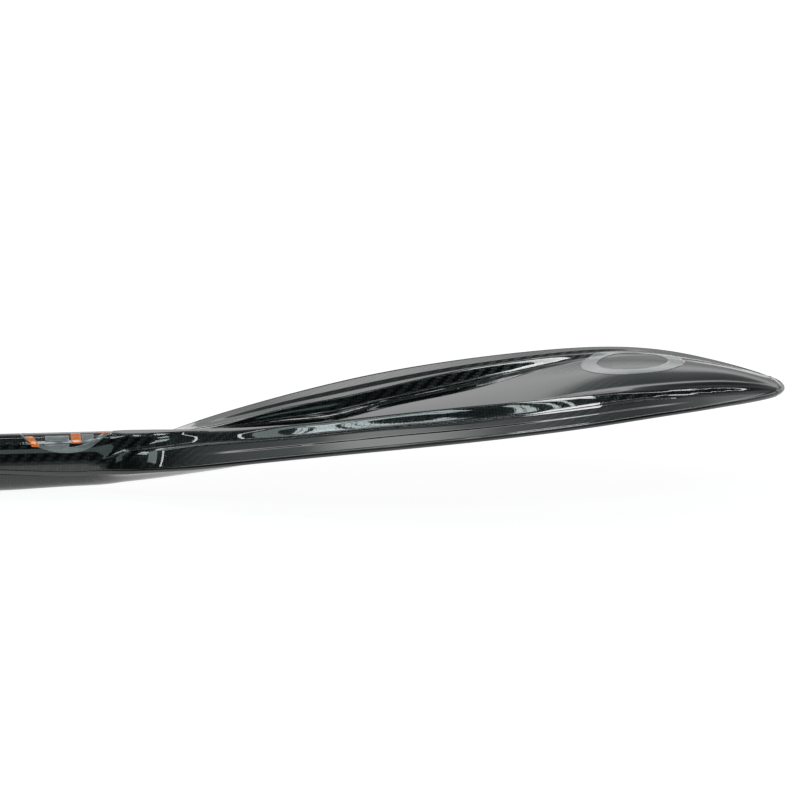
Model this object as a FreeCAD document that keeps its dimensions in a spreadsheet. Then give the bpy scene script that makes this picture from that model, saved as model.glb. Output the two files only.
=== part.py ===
import FreeCAD, Part
import Sketcher
import math
import os

# Single-blade carbon paddle. Millimetres, +X towards the blade tip, +Y across, +Z out of
# the blade's back face. The paddle lies flat: its T-grip and the underside of its neck
# touch Z = 0, and the origin is under the middle of its overall length.

doc = FreeCAD.newDocument("single_blade_paddle")

# ---------------------------------------------------------------- driving dimensions
SIZES = [
    ("overall_length", 1300),
    ("blade_length", 463),
    ("nose_start", 424),
    ("nose_length", 37.6),
    ("neck_length", 110),
    ("neck_radius", 19),
    ("keel_radius", 16.8),
    ("skin_thickness", 1),
    ("edge_thickness", 3.2),
    ("neck_bead", 0.25),
    ("blade_bead", 1.6),
    ("glue_gap", 0.3),
    ("shaft_radius", 15),
    ("shaft_wall", 1.6),
    ("shaft_gap", 1),
    ("plug_length", 24),
    ("neck_ring_length", 18),
    ("neck_ring_lip", 0.8),
    ("grip_width", 114),
    ("grip_depth", 42),
    ("grip_thickness", 38),
    ("grip_end_round", 14),
    ("grip_wall", 1.8),
    ("stem_length", 54),
    ("stem_root_radius", 18),
    ("stem_end_radius", 16),
    ("spigot_length", 52),
    ("grip_ring_length", 9),
    ("grip_ring_radius", 16.6),
    ("label_length", 47.5),
    ("label_angle", 118),
    ("label_thickness", 0.15),
    ("label_setback", 1),
    ("mark_radius", 35),
    ("mark_band", 11),
    ("mark_thickness", 0.12),
    ("mark_cut_height", 100),
    ("mark_from_tip", 100),
    ("mark_offset", 20),
]
DERIVED = [
    ("shoulder_at", "=overall_length / 2 - blade_length"),
    ("axis_height", "=neck_radius"),
    ("mouth_at", "=shoulder_at - neck_length"),
    ("grip_at", "=grip_depth / 2 - overall_length / 2"),
    ("shaft_start", "=grip_at + stem_length"),
    ("shaft_length", "=shoulder_at - shaft_gap - shaft_start"),
    ("shaft_bore", "=shaft_radius - shaft_wall"),
    ("lower_plug_at", "=shoulder_at - shaft_gap - plug_length"),
    ("upper_plug_at", "=shaft_start + spigot_length"),
    ("neck_ring_at", "=mouth_at - neck_ring_length"),
    ("label_at", "=shoulder_at - label_setback - label_length"),
]

sheet = doc.addObject("Spreadsheet::Sheet", "sizes")
for row, (alias, value) in enumerate(SIZES + DERIVED, start=1):
    sheet.set(f"A{row}", alias)
    sheet.set(f"B{row}", str(value))
    sheet.setAlias(f"B{row}", alias)
doc.recompute()


def size(alias):
    """The value of one named cell, in millimetres or degrees."""
    return float(sheet.get(alias))


def bind(item, **expressions):
    """Bind properties to the sheet; a double underscore stands for a dot."""
    for name, expression in expressions.items():
        item.setExpression(name.replace("__", "."), expression)


# ---------------------------------------------------------------- the blade's shape
# Stations run along the blade from its shoulder (0) to its tip, and heights are above the
# shaft's axis, so the neck has negative stations.

def through(*knots):
    """A smooth curve through (station, value) knots, straight beyond its ends."""
    at = [knot[0] for knot in knots]
    value = [knot[1] for knot in knots]
    last = len(knots) - 1
    gap = [at[i + 1] - at[i] for i in range(last)]
    slope = [(value[i + 1] - value[i]) / gap[i] for i in range(last)]
    pivot = [1.0] * (last + 1)
    bend = [0.0] * (last + 1)
    for i in range(1, last):
        below = gap[i - 1] if i > 1 else 0.0
        ratio = below / pivot[i - 1]
        pivot[i] = 2 * (gap[i - 1] + gap[i]) - ratio * below
        bend[i] = 6 * (slope[i] - slope[i - 1]) - ratio * bend[i - 1]
    bend[last] = 0.0
    for i in range(last - 1, 0, -1):
        bend[i] = (bend[i] - gap[i] * bend[i + 1]) / pivot[i]

    def curve(station):
        if station <= at[0]:
            return value[0] + (slope[0] - gap[0] * bend[1] / 6) * (station - at[0])
        if station >= at[last]:
            end = slope[-1] + gap[-1] * bend[last - 1] / 6
            return value[last] + end * (station - at[last])
        i = max(k for k in range(last) if at[k] <= station)
        past = station - at[i]
        left = at[i + 1] - station
        arch = (bend[i] * left ** 3 + bend[i + 1] * past ** 3) / (6 * gap[i])
        start = (value[i] / gap[i] - bend[i] * gap[i] / 6) * left
        finish = (value[i + 1] / gap[i] - bend[i + 1] * gap[i] / 6) * past
        return arch + start + finish

    return curve


# half width of the planform up to where the round nose takes over
side = through((-110, 19.25), (-40, 19.25), (0, 19.6), (30, 31), (60, 47.5), (100, 63),
               (150, 77.8), (200, 89), (250, 94.6), (290, 95.2), (330, 92), (371, 81.4),
               (400, 67), (424, 49))
# height of the edge's middle
edge = through((-110, -0.6), (-60, -1.2), (0, -3.6), (40, 2.2), (80, 10.2), (127, 18.6),
               (190, 28.1), (255, 35.6), (322, 42), (371, 45), (415, 43.7), (463, 38.8))
# back face along the centreline, at the panel's border, on the ribs and at their feet
spine = through((0, 19), (40, 19), (80, 19), (100, 19.3), (127, 20.7), (160, 23), (190, 28),
                (225, 33.1), (255, 37.4), (290, 43.4), (322, 49.8), (345, 53.7), (371, 55.5),
                (400, 54.2), (432, 49.9), (463, 40.4))
border = through((0, 19), (40, 19), (80, 19), (100, 19.2), (127, 20.6), (160, 22.9), (190, 27.8),
                 (225, 32.8), (255, 37), (290, 43), (322, 48.6), (345, 51.8), (371, 53.4),
                 (400, 52.4), (432, 48.4), (463, 40.4))
crest = through((0, 18.7), (40, 18.8), (80, 19.2), (100, 22), (127, 26.6), (160, 30.9),
                (190, 35.2), (225, 40.4), (255, 44.4), (290, 48), (322, 50.8), (345, 52.2),
                (371, 52.4), (400, 50.9), (432, 47), (463, 40.4))
foot = through((0, 4.6), (20, 9.8), (40, 11.4), (60, 13.4), (80, 15.4), (100, 17.8), (127, 21.4),
               (160, 25.4), (190, 29.4), (225, 33.9), (255, 37.6), (290, 41.8), (322, 45.8),
               (345, 48), (371, 48.9), (400, 47.6), (432, 44.6), (463, 40.4))
# how far those lines lie from the centreline
crest_out = through((0, 5), (40, 4), (80, 5), (100, 12), (127, 20.5), (160, 26), (190, 31.4),
                    (225, 39), (255, 44.6), (290, 48.6), (322, 50), (345, 49), (371, 45.6),
                    (400, 36), (432, 23), (463, 10))
slope_in = through((0, 2), (80, 2.5), (127, 11), (190, 14), (255, 14), (322, 13), (371, 13),
                   (432, 8), (463, 3))
foot_out = through((0, 18.4), (20, 16.2), (50, 17), (80, 21), (127, 32.6), (160, 37.8),
                   (190, 43), (225, 50.6), (255, 56.6), (290, 60.6), (322, 62), (345, 60.6),
                   (371, 56.6), (400, 46.4), (432, 31), (463, 14))
# the keel on the power face, and the hollow that the power face has towards the tip
keel = through((0, 11.6), (21, 12.2), (40, 13.6), (62, 15.2), (80, 16.5), (98, 17.1), (127, 16.4),
               (160, 12.6), (190, 8.2), (225, 4), (255, 1.6), (290, 0.4), (345, 0), (463, 0))
keel_out = through((0, 19), (60, 42), (130, 52), (200, 60), (300, 72), (463, 72))
hollow = through((0, 0), (190, 0), (255, 0.4), (300, 2.6), (361, 6.4), (400, 6.4), (432, 4.2),
                 (463, 0))

NOSE_START = size("nose_start")
# the nose's bluntness: 0 is a parabola, and more of it squares the corners
NOSE_BLUNT = 0.215
# stations: rows start to bow towards the nose, the section leaves the neck's circle and is the
# blade's own, the bead starts and ends to widen, and the keel starts and ends to flatten
SKEW_START = 300
MORPH_START, MORPH_END = -8, 22
BEAD_START, BEAD_END = 0, 60
KEEL_START, KEEL_END = -70, 0
# how near the edge the panel's border, the crest and the foot may come on the narrow throat, as
# shares of the half width, and the least width of the rim outside the foot
BORDER_LIMIT, CREST_LIMIT, FOOT_LIMIT = 0.3, 0.52, 0.76
RIM_LEAST = 0.5
# strips of the surface net between the centreline and the edge
HALF_STEPS = 8


def ramp(value, low, high):
    """0 below low, 1 above high, smooth between."""
    part = min(max((value - low) / (high - low), 0.0), 1.0)
    return part * part * (3 - 2 * part)


def nose(across):
    """How far the nose reaches past its start, at a share of its width (0 middle, 1 corner)."""
    return size("nose_length") * (1 - (1 + NOSE_BLUNT) * across ** 2 + NOSE_BLUNT * across ** 4)


def station_at(row, across):
    """Rows are straight lines across the blade, and bow out to the nose's curve at its tip."""
    bow = max(row - SKEW_START, 0.0) / (NOSE_START - SKEW_START)
    return row + bow ** 3 * nose(abs(across))


def half_width(station):
    """Half width of the planform at any station, nose included."""
    if station <= NOSE_START:
        return side(station)
    left = max(1 - (station - NOSE_START) / size("nose_length"), 0.0)
    root = math.sqrt((1 + NOSE_BLUNT) ** 2 - 4 * NOSE_BLUNT * left)
    return side(NOSE_START) * math.sqrt((1 + NOSE_BLUNT - root) / (2 * NOSE_BLUNT))


def back_height(station, out):
    """Height of the back face at a distance from the centreline."""
    inner = crest_out(station) - slope_in(station)
    top = crest_out(station)
    low = foot_out(station)
    rim = max(half_width(station) - size("blade_bead"), low + RIM_LEAST)
    lip = edge(station) + size("edge_thickness") / 2
    if out <= inner:
        return spine(station) - (spine(station) - border(station)) * (out / inner) ** 2
    if out <= top:
        return border(station) + (crest(station) - border(station)) * ramp(out, inner, top)
    if out <= low:
        return crest(station) - (crest(station) - foot(station)) * ramp(out, top, low)
    return foot(station) + (lip - foot(station)) * min((out - low) / (rim - low), 1.0)


def power_height(station, out):
    """Height of the power face at a distance from the centreline."""
    share = min(out / max(half_width(station), out, 1.0), 1.0)
    bulge = max(1 - (out / keel_out(station)) ** 2, 0.0) ** 2
    flat = edge(station) - size("edge_thickness") / 2
    return flat - keel(station) * bulge + hollow(station) * (1 - share ** 2)


def bead(row):
    """Width of the edge bead: a fine seam on the neck, a rounded edge on the blade."""
    growth = ramp(row, BEAD_START, BEAD_END)
    return size("neck_bead") + (size("blade_bead") - size("neck_bead")) * growth


def columns(row, face):
    """The distances from the centreline at which a row's points lie."""
    rim = side(row) - bead(row)
    if face == "power":
        return [rim * k / HALF_STEPS for k in range(HALF_STEPS + 1)]
    inner = min(crest_out(row) - slope_in(row), BORDER_LIMIT * rim)
    top = min(crest_out(row), CREST_LIMIT * rim)
    low = min(foot_out(row), FOOT_LIMIT * rim)
    return [0, inner / 2, inner, (inner + top) / 2, top, (top + low) / 2, low, (low + rim) / 2, rim]


def neck_point(row, step, face, depth):
    """A point of the round neck, from its top or bottom (step 0) to its seam (the last step)."""
    lip = edge(row) + (size("edge_thickness") / 2 - depth) * (1 if face == "back" else -1)
    radius = size("neck_radius") - depth
    tall = radius
    if face == "power":
        flattening = ramp(row, KEEL_START, KEEL_END)
        tall = radius + (size("keel_radius") - size("neck_radius")) * flattening
    seam = math.asin(lip / radius) if face == "back" else math.asin(-lip / tall)
    angle = math.pi / 2 + (seam - math.pi / 2) * step / HALF_STEPS
    up = tall * math.sin(angle)
    return radius * math.cos(angle), up if face == "back" else -up


def blade_point(row, step, face, depth):
    """A point of the blade's section, on the outside (depth 0) or under the skin."""
    out = columns(row, face)[step]
    station = station_at(row, out / side(row))
    if face == "back":
        return station, out, back_height(station, out) - depth
    return station, out, power_height(station, out) + depth


def skin_point(row, step, face, depth):
    """A point of either face: round along the neck, the blade's section beyond it."""
    right = 1 if step >= 0 else -1
    station, out, up = blade_point(row, abs(step), face, depth)
    round_out, round_up = neck_point(min(row, MORPH_END), abs(step), face, depth)
    mix = ramp(row, MORPH_START, MORPH_END)
    out = round_out + (out - round_out) * mix
    up = round_up + (up - round_up) * mix
    return FreeCAD.Vector(station + size("shoulder_at"), right * out, up + size("axis_height"))


ROWS = [-110, -75, -40, -15, 0, 12, 25, 38, 52, 66, 80, 94, 108, 127, 146, 168, 190, 214, 240,
        265, 290, 312, 332, 350, 368, 385, 400, 413, 424]
STEPS = range(-HALF_STEPS, HALF_STEPS + 1)
PANEL, RIB_FOOT, RIM = 2, 6, HALF_STEPS
THROAT_ROW = ROWS.index(0)
CORE_ROW = ROWS.index(94)


def spline_net(poles):
    """A smooth cubic surface over a net of poles. It starts and ends on the net's border."""
    rows, across = len(poles), len(poles[0])
    surface = Part.BSplineSurface()
    surface.buildFromPolesMultsKnots(
        poles,
        [4] + [1] * (rows - 4) + [4],
        [4] + [1] * (across - 4) + [4],
        [float(knot) for knot in range(rows - 2)],
        [float(knot) for knot in range(across - 2)],
        False, False, 3, 3)
    return surface


def skin(face, depth):
    """The whole of one face as a spline surface, at a depth under the outside."""
    return spline_net([[skin_point(row, step, face, depth) for step in STEPS] for row in ROWS])


def net_place(index, count):
    """Where along a spline net the surface comes nearest to one of its lines of poles."""
    return float(min(max(index - 1, 0), count - 3))


def patch(surface, first_row, last_row, first_step, last_step):
    """The part of a face between two rows and two columns, exactly on the face."""
    cut = surface.copy()
    cut.segment(net_place(first_row, len(ROWS)), net_place(last_row, len(ROWS)),
                net_place(first_step + RIM, len(STEPS)), net_place(last_step + RIM, len(STEPS)))
    return cut


def closed_solid(faces):
    """One solid from faces that meet edge to edge."""
    shell = Part.makeShell(faces)
    shell.sewShape()
    solid = Part.makeSolid(shell)
    if solid.Volume < 0:
        solid.reverse()
    return solid


def between(upper, lower, *limits):
    """The solid between matching patches of two faces, with ruled walls."""
    top = patch(upper, *limits)
    bottom = patch(lower, *limits)
    walls = []
    for end in (0, 1):
        u_top = top.bounds()[end]
        u_bottom = bottom.bounds()[end]
        walls.append(Part.makeRuledSurface(top.uIso(u_top).toShape(), bottom.uIso(u_bottom).toShape()))
        v_top = top.bounds()[2 + end]
        v_bottom = bottom.bounds()[2 + end]
        walls.append(Part.makeRuledSurface(top.vIso(v_top).toShape(), bottom.vIso(v_bottom).toShape()))
    return closed_solid([top.toShape(), bottom.toShape()] + walls)


def feature(label, shape):
    """A sub-part whose shape is made with Part's own functions."""
    item = doc.addObject("Part::Feature", label)
    item.Shape = shape
    item.Label = label
    item.Placement = FreeCAD.Placement()
    return item


outer_back = skin("back", 0)
inner_back = skin("back", size("skin_thickness"))
outer_power = skin("power", 0)
inner_power = skin("power", size("skin_thickness"))
END_ROW = len(ROWS) - 1

# ---------------------------------------------------------------- blade pieces
feature("blade_back_shell", between(outer_back, inner_back, 0, END_ROW, -RIM, RIM))
feature("blade_power_shell", between(inner_power, outer_power, 0, END_ROW, -RIM, RIM))


def core(label, first_row, last_row, first_step, last_step):
    """A piece of the foam core, between the two inner skins."""
    return feature(label, between(inner_back, inner_power, first_row, last_row, first_step, last_step))


core("throat_core", THROAT_ROW, CORE_ROW, -RIM, RIM)
core("core_centre", CORE_ROW, END_ROW, -PANEL, PANEL)
core("rib_spar_left", CORE_ROW, END_ROW, PANEL, RIB_FOOT)
core("rib_spar_right", CORE_ROW, END_ROW, -RIB_FOOT, -PANEL)
core("core_left", CORE_ROW, END_ROW, RIB_FOOT, RIM)
core("core_right", CORE_ROW, END_ROW, -RIM, -RIB_FOOT)

# the bead that closes the two skins all the way round, as a bowed strip along the edge: each
# corner of its section is a share of its width outwards and of half its height upwards
BEAD_BOW = [(0, -1), (0.62, -0.78), (1, 0), (0.62, 0.78), (0, 1)]


def bead_section(row, step, outward):
    """The bead's cross-section at one place of the outline, as a closed wire."""
    back = skin_point(row, step, "back", 0)
    power = skin_point(row, step, "power", 0)
    outward.normalize()
    start = (back + power) / 2 + outward * size("glue_gap")
    up = (back - power) / 2
    corners = [start + outward * (bead(row) * bow) + up * rise for bow, rise in BEAD_BOW]
    return Part.makePolygon(corners + corners[:1])


def side_rail(step):
    """The bead's sections along one side, from the neck's mouth to the nose."""
    sections = []
    for place, row in enumerate(ROWS):
        ahead = skin_point(ROWS[min(place + 1, END_ROW)], step, "back", 0)
        behind = skin_point(ROWS[max(place - 1, 0)], step, "back", 0)
        across = FreeCAD.Vector(behind.y - ahead.y, ahead.x - behind.x, 0)
        sections.append(bead_section(row, step, across if step > 0 else across * -1))
    return sections


def nose_rail():
    """The bead's sections round the nose, between the sides' last ones."""
    sections = []
    for step in range(1 - RIM, RIM):
        ahead = skin_point(ROWS[-1], step + 1, "back", 0)
        behind = skin_point(ROWS[-1], step - 1, "back", 0)
        outward = FreeCAD.Vector(ahead.y - behind.y, behind.x - ahead.x, 0)
        sections.append(bead_section(ROWS[-1], step, outward))
    return sections


def edge_bead():
    """The whole bead, up one side, round the nose and down the other."""
    rail = side_rail(-RIM) + nose_rail() + side_rail(RIM)[::-1]
    return Part.makeLoft(rail, True, True)


feature("edge_bead", edge_bead())


# the mark on the panel: a plain ring printed on film, which lies on the back face
def mark_ring():
    """The ring's film, cut from a thin layer over the back face."""
    film_top = skin("back", -size("mark_thickness"))
    layer = between(film_top, outer_back, CORE_ROW, END_ROW, -RIM, RIM)
    centre = FreeCAD.Vector(size("overall_length") / 2 - size("mark_from_tip"), size("mark_offset"), 0)
    outer = Part.makeCylinder(size("mark_radius"), size("mark_cut_height"), centre)
    inner = Part.makeCylinder(size("mark_radius") - size("mark_band"), size("mark_cut_height"), centre)
    return layer.common(outer.cut(inner)).Solids[0]


feature("panel_mark", mark_ring())

# the neck's filler: what lies between the neck's two skins and the shaft
neck_block = feature("neck_block", between(inner_back, inner_power, 0, THROAT_ROW, -RIM, RIM))


# ---------------------------------------------------------------- round and moulded pieces
def along_x(item, start, height="sizes.axis_height", turn=None):
    """Lay a primitive's own Z axis along +X, and bind its place to the sheet."""
    lie = FreeCAD.Rotation(FreeCAD.Vector(0, 1, 0), 90)
    item.Placement.Rotation = lie * turn if turn else lie
    bind(item, Placement__Base__x=start, Placement__Base__z=height)


def cylinder(name, radius, length, start):
    """A cylinder along X on the shaft's axis."""
    item = doc.addObject("Part::Cylinder", name)
    bind(item, Radius=radius, Height=length)
    along_x(item, start)
    return item


def combine(kind, label, first, second):
    """A two-piece boolean, such as Part::Cut or Part::Common."""
    item = doc.addObject(kind, label)
    item.Base = first
    item.Tool = second
    item.Label = label
    return item


def round_body(label, radii, length, start):
    """A turned piece: a sketch of one or two circles, padded along X."""
    body = doc.addObject("PartDesign::Body", label)
    body.Label = label
    plane = [item for item in body.Origin.OriginFeatures if item.Role == "YZ_Plane"][0]
    sketch = body.newObject("Sketcher::SketchObject", label + "_section")
    sketch.AttachmentSupport = (plane, "")
    sketch.MapMode = "FlatFace"
    axis = FreeCAD.Vector(0, 0, 1)
    for radius in radii:
        ring = sketch.addGeometry(Part.Circle(FreeCAD.Vector(), axis, size(radius)), False)
        sketch.addConstraint(Sketcher.Constraint("Coincident", ring, 3, -1, 1))
        limit = sketch.addConstraint(Sketcher.Constraint("Radius", ring, size(radius)))
        sketch.setExpression(f"Constraints[{limit}]", f"sizes.{radius}")
    pad = body.newObject("PartDesign::Pad", label + "_pad")
    pad.Profile = sketch
    bind(pad, Length=f"sizes.{length}")
    bind(body, Placement__Base__x=f"sizes.{start}", Placement__Base__z="sizes.axis_height")
    return body


round_body("shaft_tube", ["shaft_radius", "shaft_bore"], "shaft_length", "shaft_start")
round_body("shaft_lower_plug", ["shaft_bore"], "plug_length", "lower_plug_at")
round_body("shaft_upper_plug", ["shaft_bore"], "plug_length", "upper_plug_at")
round_body("grip_spigot", ["shaft_bore"], "spigot_length", "shaft_start")
round_body("grip_ring", ["grip_ring_radius", "shaft_radius"], "grip_ring_length", "shaft_start")

# the ring at the neck's mouth tapers down to the shaft
neck_cone = doc.addObject("Part::Cone", "neck_cone")
bind(neck_cone, Radius1="sizes.shaft_radius + sizes.neck_ring_lip", Radius2="sizes.neck_radius",
     Height="sizes.neck_ring_length")
along_x(neck_cone, "sizes.neck_ring_at")
neck_ring_bore = cylinder("neck_ring_bore", "sizes.shaft_radius", "sizes.neck_ring_length",
                          "sizes.neck_ring_at")
combine("Part::Cut", "neck_ring", neck_cone, neck_ring_bore)

# the filler is the neck's inside less the shaft
neck_bore = cylinder("neck_bore", "sizes.shaft_radius", "sizes.neck_length", "sizes.mouth_at")
combine("Part::Cut", "neck_filler", neck_block, neck_bore)

# the label wraps over the top of the neck
half_turn = FreeCAD.Rotation(FreeCAD.Vector(0, 0, 1), 180 - size("label_angle") / 2)
label_layers = []
for name, lift in (("label_outside", " + sizes.label_thickness"), ("label_inside", "")):
    layer = doc.addObject("Part::Cylinder", name)
    bind(layer, Radius="sizes.neck_radius" + lift, Height="sizes.label_length",
         Angle="sizes.label_angle")
    along_x(layer, "sizes.label_at", turn=half_turn)
    label_layers.append(layer)
combine("Part::Cut", "neck_label", *label_layers)


def grip_form(name, inset):
    """The T-grip's form, a crosswise oval bar with round ends on a tapered stem."""
    oval = doc.addObject("Part::Ellipse", name + "_oval")
    bind(oval, MajorRadius=f"sizes.grip_depth / 2 - {inset}",
         MinorRadius=f"sizes.grip_thickness / 2 - {inset}")
    oval.Placement.Rotation = FreeCAD.Rotation(FreeCAD.Vector(1, 0, 0), 90)
    bind(oval, Placement__Base__x="sizes.grip_at", Placement__Base__z="sizes.axis_height")
    bar = doc.addObject("Part::Extrusion", name + "_bar")
    bar.Base = oval
    bar.DirMode = "Custom"
    bar.Dir = FreeCAD.Vector(0, 1, 0)
    bar.Symmetric = True
    bar.Solid = True
    bind(bar, LengthFwd=f"sizes.grip_width - 2 * {inset}")
    doc.recompute()
    ends = doc.addObject("Part::Fillet", name + "_rounded")
    ends.Base = bar
    radius = size("grip_end_round") - (size("grip_wall") if inset != "0" else 0)
    flat_ends = [index + 1 for index, line in enumerate(bar.Shape.Edges)
                 if line.BoundBox.YLength < 1e-6]
    ends.Edges = [(index, radius, radius) for index in flat_ends]
    stem = doc.addObject("Part::Cone", name + "_stem")
    bind(stem, Radius1=f"sizes.stem_root_radius - {inset}", Radius2=f"sizes.stem_end_radius - {inset}",
         Height="sizes.stem_length")
    along_x(stem, "sizes.grip_at")
    return combine("Part::Fuse", name, ends, stem)


def grip_half(label, low_edge):
    """One of the two moulded shells, from the parting plane up or down."""
    box = doc.addObject("Part::Box", label + "_side")
    bind(box, Length="4 * sizes.grip_depth", Width="2 * sizes.grip_width", Height="sizes.grip_thickness",
         Placement__Base__x="sizes.grip_at - 2 * sizes.grip_depth",
         Placement__Base__y="-sizes.grip_width",
         Placement__Base__z=low_edge)
    return combine("Part::Common", label, grip_skin, box)


grip_outside = grip_form("grip_outside", "0")
grip_core = grip_form("grip_core", "sizes.grip_wall")
grip_skin = combine("Part::Cut", "grip_skin", grip_outside, grip_core)
grip_half("grip_shell_back", "sizes.axis_height")
grip_half("grip_shell_power", "sizes.axis_height - sizes.grip_thickness")

# ---------------------------------------------------------------- check and write
SUB_PARTS = [
    "blade_back_shell", "blade_power_shell", "throat_core", "core_centre", "rib_spar_left",
    "rib_spar_right", "core_left", "core_right", "edge_bead", "panel_mark", "neck_filler",
    "neck_label", "neck_ring", "shaft_tube", "shaft_lower_plug", "shaft_upper_plug",
    "grip_spigot", "grip_ring", "grip_core", "grip_shell_back", "grip_shell_power",
]

doc.recompute()
for item in doc.Objects:
    if "Invalid" in item.State or "Error" in item.State:
        raise RuntimeError(f"{item.Label} did not rebuild: {item.State}")

os.makedirs("parts", exist_ok=True)
for label in SUB_PARTS:
    shape = doc.getObjectsByLabel(label)[0].Shape
    if shape.isNull() or not shape.isValid() or not shape.Solids:
        raise RuntimeError(f"{label} has no valid solid")
    shape.exportStep(f"parts/{label}.step")
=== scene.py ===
import math
import bmesh
import bpy
from mathutils import Matrix, Vector


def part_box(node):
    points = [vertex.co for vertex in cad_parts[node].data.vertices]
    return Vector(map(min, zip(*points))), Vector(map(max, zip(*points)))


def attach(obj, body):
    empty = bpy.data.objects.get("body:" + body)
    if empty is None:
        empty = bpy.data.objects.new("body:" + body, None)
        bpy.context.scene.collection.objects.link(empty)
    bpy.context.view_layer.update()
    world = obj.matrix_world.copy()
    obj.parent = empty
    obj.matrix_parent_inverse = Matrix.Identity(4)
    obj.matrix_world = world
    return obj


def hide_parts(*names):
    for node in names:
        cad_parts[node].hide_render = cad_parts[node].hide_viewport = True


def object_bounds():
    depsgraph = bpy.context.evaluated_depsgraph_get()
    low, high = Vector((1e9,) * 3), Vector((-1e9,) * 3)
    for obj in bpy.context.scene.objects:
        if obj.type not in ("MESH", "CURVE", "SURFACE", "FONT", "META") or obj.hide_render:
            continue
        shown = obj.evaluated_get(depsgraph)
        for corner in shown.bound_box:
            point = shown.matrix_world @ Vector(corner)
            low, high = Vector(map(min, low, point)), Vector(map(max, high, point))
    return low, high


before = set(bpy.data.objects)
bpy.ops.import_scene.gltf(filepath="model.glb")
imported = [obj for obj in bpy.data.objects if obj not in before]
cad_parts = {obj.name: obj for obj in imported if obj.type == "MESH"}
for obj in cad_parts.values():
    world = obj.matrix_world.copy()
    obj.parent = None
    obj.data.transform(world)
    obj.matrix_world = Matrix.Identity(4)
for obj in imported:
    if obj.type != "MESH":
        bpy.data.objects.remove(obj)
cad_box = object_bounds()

# A carbon single-blade paddle, lying with its back face up. The blade is worked out in
# millimetres from its shoulder (0) to its tip, with heights above the shaft's axis, and each
# finished mesh is turned to metres in the CAD frame.
MM = 0.001
# corners closer than this, in metres, are merged
MERGE = 0.00001

neck_low, neck_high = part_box("blade_back_shell")
shaft_low, shaft_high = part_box("shaft_tube")
NECK_LENGTH = 110
SHOULDER_X = neck_low[0] / MM + NECK_LENGTH
AXIS_Z = (shaft_low[2] + shaft_high[2]) / 2 / MM
SHAFT_RADIUS = (shaft_high[2] - shaft_low[2]) / 2 / MM
NECK_RADIUS = 19


# ---------------------------------------- materials
def colour(code):
    """A hex sRGB colour as linear red, green, blue and alpha."""
    shares = [int(code[i:i + 2], 16) / 255 for i in (1, 3, 5)]
    return [share / 12.92 if share <= 0.04045 else ((share + 0.055) / 1.055) ** 2.4
            for share in shares] + [1.0]


def new_material(name):
    """An empty node material with its shader."""
    material = bpy.data.materials.new(name)
    material.use_nodes = True
    tree = material.node_tree
    tree.nodes.clear()
    shader = tree.nodes.new("ShaderNodeBsdfPrincipled")
    output = tree.nodes.new("ShaderNodeOutputMaterial")
    tree.links.new(shader.outputs["BSDF"], output.inputs["Surface"])
    return material, tree, shader


def node(tree, kind, settings=None, **links):
    """Add a node. settings are its properties, and links feed its inputs with numbers or sockets."""
    made = tree.nodes.new(kind)
    for key, value in (settings or {}).items():
        setattr(made, key, value)
    for key, value in links.items():
        name = key.replace("_", " ").title() if not key.startswith("in") else int(key[2:])
        socket = made.inputs[name]
        if isinstance(value, bpy.types.NodeSocket):
            tree.links.new(value, socket)
        else:
            socket.default_value = value
    return made


def maths(tree, operation, first, second=0.0):
    """One arithmetic step, as a socket."""
    return node(tree, "ShaderNodeMath", {"operation": operation}, in0=first, in1=second).outputs[0]


def ramp_node(tree, value, *stops):
    """A colour ramp over (place, hex) stops."""
    ramp = node(tree, "ShaderNodeValToRGB", in0=value)
    points = ramp.color_ramp.elements
    while len(points) < len(stops):
        points.new(0.5)
    for point, (place, code) in zip(points, stops):
        point.position = place
        point.color = colour(code)
    return ramp.outputs[0]


# A 2 x 2 twill of 3K tows. A tow is about 2 mm wide, and each passes over two and under two,
# which makes the diagonal lines that the eye reads as carbon cloth.
TOW = 2.1
# the cloth never lies quite straight: it wanders by about a millimetre over 50 mm
WANDER, WANDER_LENGTH = 1.2, 50
# filaments of 0.007 mm are too fine to show, so they are drawn as coarser streaks: how many to the
# millimetre along and across a tow
STREAKS_ALONG, STREAKS_ACROSS = 0.15, 9.0
# the tows' relief in millimetres, and the length of the slow ripple in the coat over them
TOW_RELIEF, RIPPLE_LENGTH = 0.2, 20


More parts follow.
